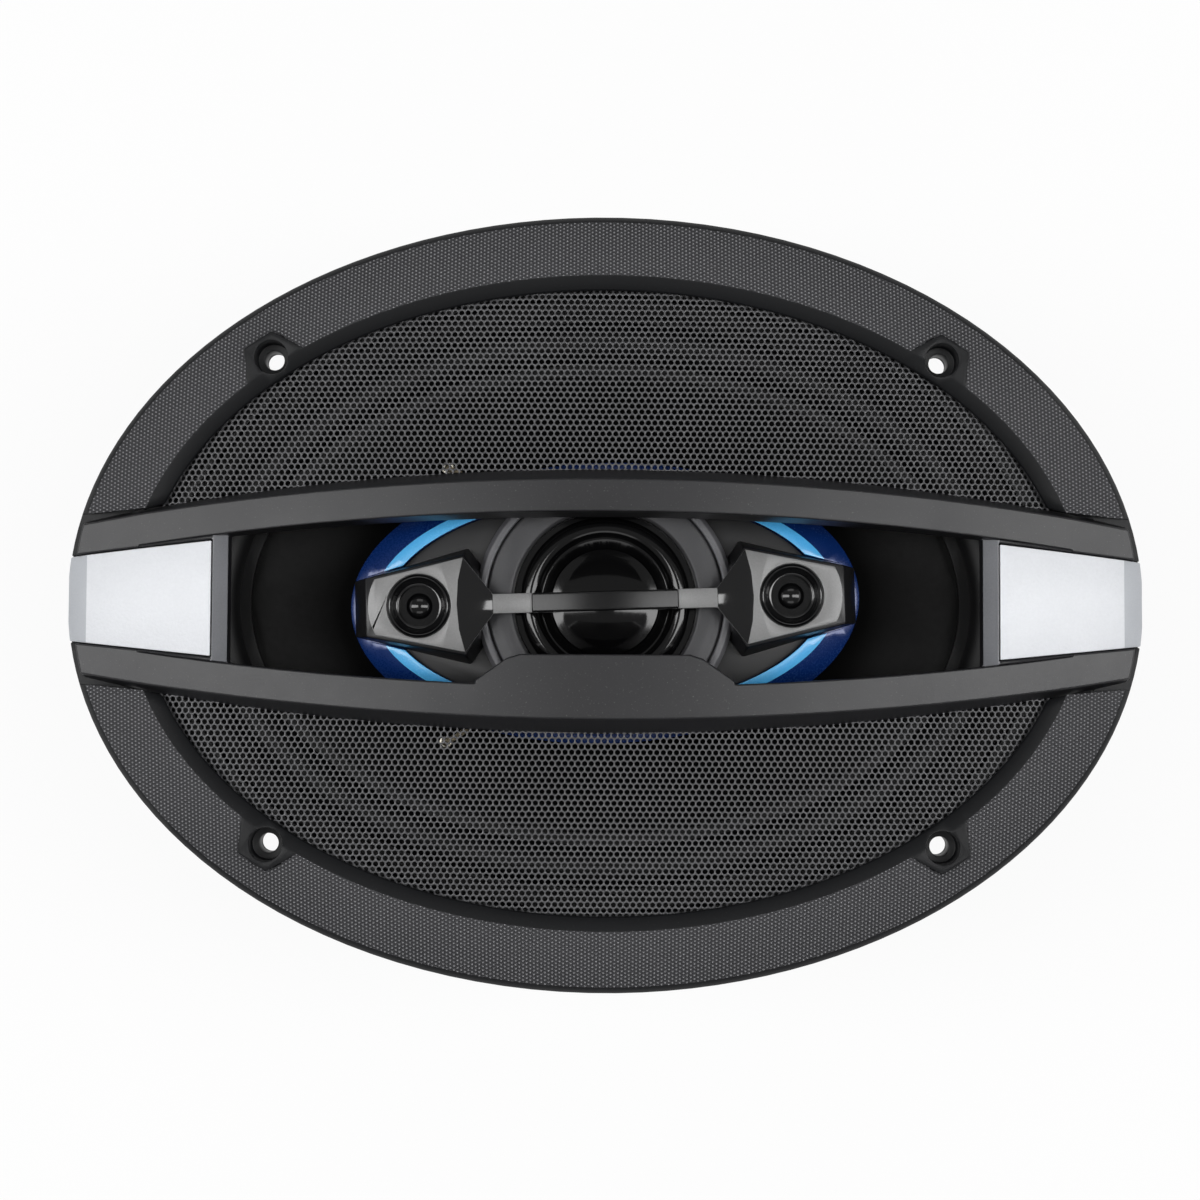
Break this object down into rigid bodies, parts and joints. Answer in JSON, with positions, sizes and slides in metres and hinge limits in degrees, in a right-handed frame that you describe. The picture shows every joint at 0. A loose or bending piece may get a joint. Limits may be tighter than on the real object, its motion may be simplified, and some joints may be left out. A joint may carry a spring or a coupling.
{
  "type": "coaxial car speaker",
  "caption": "Oval coaxial car speaker with a screw-mounted basket, arched grille, long-throw cone and a centre pod holding a small mid driver and tweeters.",
  "frame": {"origin": "centre of the four mounting holes, on the back face of the mounting flange (the panel plane)", "axes": "+Z points forwards to the listener, out of the grille; X runs along the oval's length and Y across it; the magnet is towards -Z"},
  "size_m": [0.245, 0.177, 0.108],
  "materials": {
    "textured_plastic": "fine raised texture, satin black",
    "bar_plastic": "smooth satin black",
    "silver_plate": "fine pebbled silver",
    "mesh_steel": "semi-gloss black perforated sheet",
    "basket_paint": "semi-gloss black stoving paint",
    "gasket_foam": "matt black foam",
    "zinc_steel": "bright zinc plate",
    "ferrite": "ground grey ferrite",
    "boot_rubber": "matt black rubber",
    "board_laminate": "brown paper laminate",
    "tinned_brass": "tinned brass",
    "lead_braid": "copper-beige tinsel braid",
    "wire_sleeve": "black sleeving",
    "cone_fibre": "pressed black fibre with a satin coat",
    "surround_rubber": "matt dark grey rubber",
    "spider_cloth": "resin-dipped yellow-brown cloth",
    "coil_former": "thin aluminium sleeve",
    "coil_winding": "enamelled copper wire",
    "pod_plastic": "satin black moulding",
    "blue_trim": "navy gloss with a sky-blue inner stripe",
    "pod_face": "dark grey satin moulding",
    "brushed_trim": "dark circular-brushed ring",
    "satin_trim": "warm grey satin",
    "gloss_black": "piano black",
    "mid_cone_film": "dark satin film",
    "mid_roll_film": "gloss black roll",
    "dome_film": "dark grey film",
    "motor_steel": "plated steel",
    "neodymium": "nickel plate"
  },
  "bodies": {
    "chassis": {"grille_frame": "textured_plastic", "grille_bars": "bar_plastic", "bar_screws": "zinc_steel", "end_plate_left": "silver_plate", "end_plate_right": "silver_plate", "mesh_upper": "mesh_steel", "mesh_lower": "mesh_steel", "basket": "basket_paint", "cone_gasket": "gasket_foam", "basket_rivets": "zinc_steel", "top_plate": "zinc_steel", "magnet": "ferrite", "pole_yoke": "zinc_steel", "magnet_boot": "boot_rubber", "terminal_board": "board_laminate", "terminal_positive": "tinned_brass", "terminal_negative": "tinned_brass", "terminal_rivets": "zinc_steel", "pod_post": "pod_plastic", "pod_nut": "zinc_steel", "pod_housing": "pod_plastic", "pod_trim_ring": "blue_trim", "pod_face_plate": "pod_face", "pod_wires": "wire_sleeve", "mid_collar": "pod_face", "mid_basket": "pod_plastic", "mid_bezel": "brushed_trim", "mid_pot": "motor_steel", "mid_magnet": "neodymium", "mid_pole_plate": "motor_steel", "tweeter_pod_left": "pod_plastic", "tweeter_pod_right": "pod_plastic", "tweeter_plate_left": "satin_trim", "tweeter_plate_right": "satin_trim", "tweeter_bezel_left": "gloss_black", "tweeter_bezel_right": "gloss_black", "tweeter_cup_left": "motor_steel", "tweeter_cup_right": "motor_steel", "tweeter_magnet_left": "neodymium", "tweeter_magnet_right": "neodymium", "bridge_bar": "gloss_black"},
    "woofer_diaphragm": {"woofer_cone": "cone_fibre", "woofer_surround": "surround_rubber", "voice_coil_former": "coil_former", "voice_coil_winding": "coil_winding", "spider": "spider_cloth", "lead_eyelets": "tinned_brass", "tinsel_lead_positive": "lead_braid", "tinsel_lead_negative": "lead_braid", "cone_lead_positive": "lead_braid", "cone_lead_negative": "lead_braid"},
    "mid_diaphragm": {"mid_cone": "mid_cone_film", "mid_surround": "mid_roll_film", "mid_dust_cap": "mid_cone_film", "mid_voice_coil": "coil_winding"},
    "tweeter_diaphragm_left": {"tweeter_dome_left": "dome_film", "tweeter_coil_left": "coil_winding"},
    "tweeter_diaphragm_right": {"tweeter_dome_right": "dome_film", "tweeter_coil_right": "coil_winding"}
  },
  "joints": [
    {"name": "woofer_travel", "type": "slide", "parent": "chassis", "child": "woofer_diaphragm", "axis": [0, 0, 1], "range_m": [-0.005, 0.005], "stiffness_N_per_m": 2500, "deforming": ["woofer_surround", "spider", "tinsel_lead_positive", "tinsel_lead_negative"]},
    {"name": "mid_travel", "type": "slide", "parent": "chassis", "child": "mid_diaphragm", "axis": [0, 0, 1], "range_m": [-0.001, 0.001], "stiffness_N_per_m": 1500, "deforming": ["mid_surround"]},
    {"name": "tweeter_travel_left", "type": "slide", "parent": "chassis", "child": "tweeter_diaphragm_left", "axis": [0, 0, 1], "range_m": [-0.00025, 0.00025], "stiffness_N_per_m": 1200},
    {"name": "tweeter_travel_right", "type": "slide", "parent": "chassis", "child": "tweeter_diaphragm_right", "axis": [0, 0, 1], "range_m": [-0.00025, 0.00025], "stiffness_N_per_m": 1200}
  ]
}
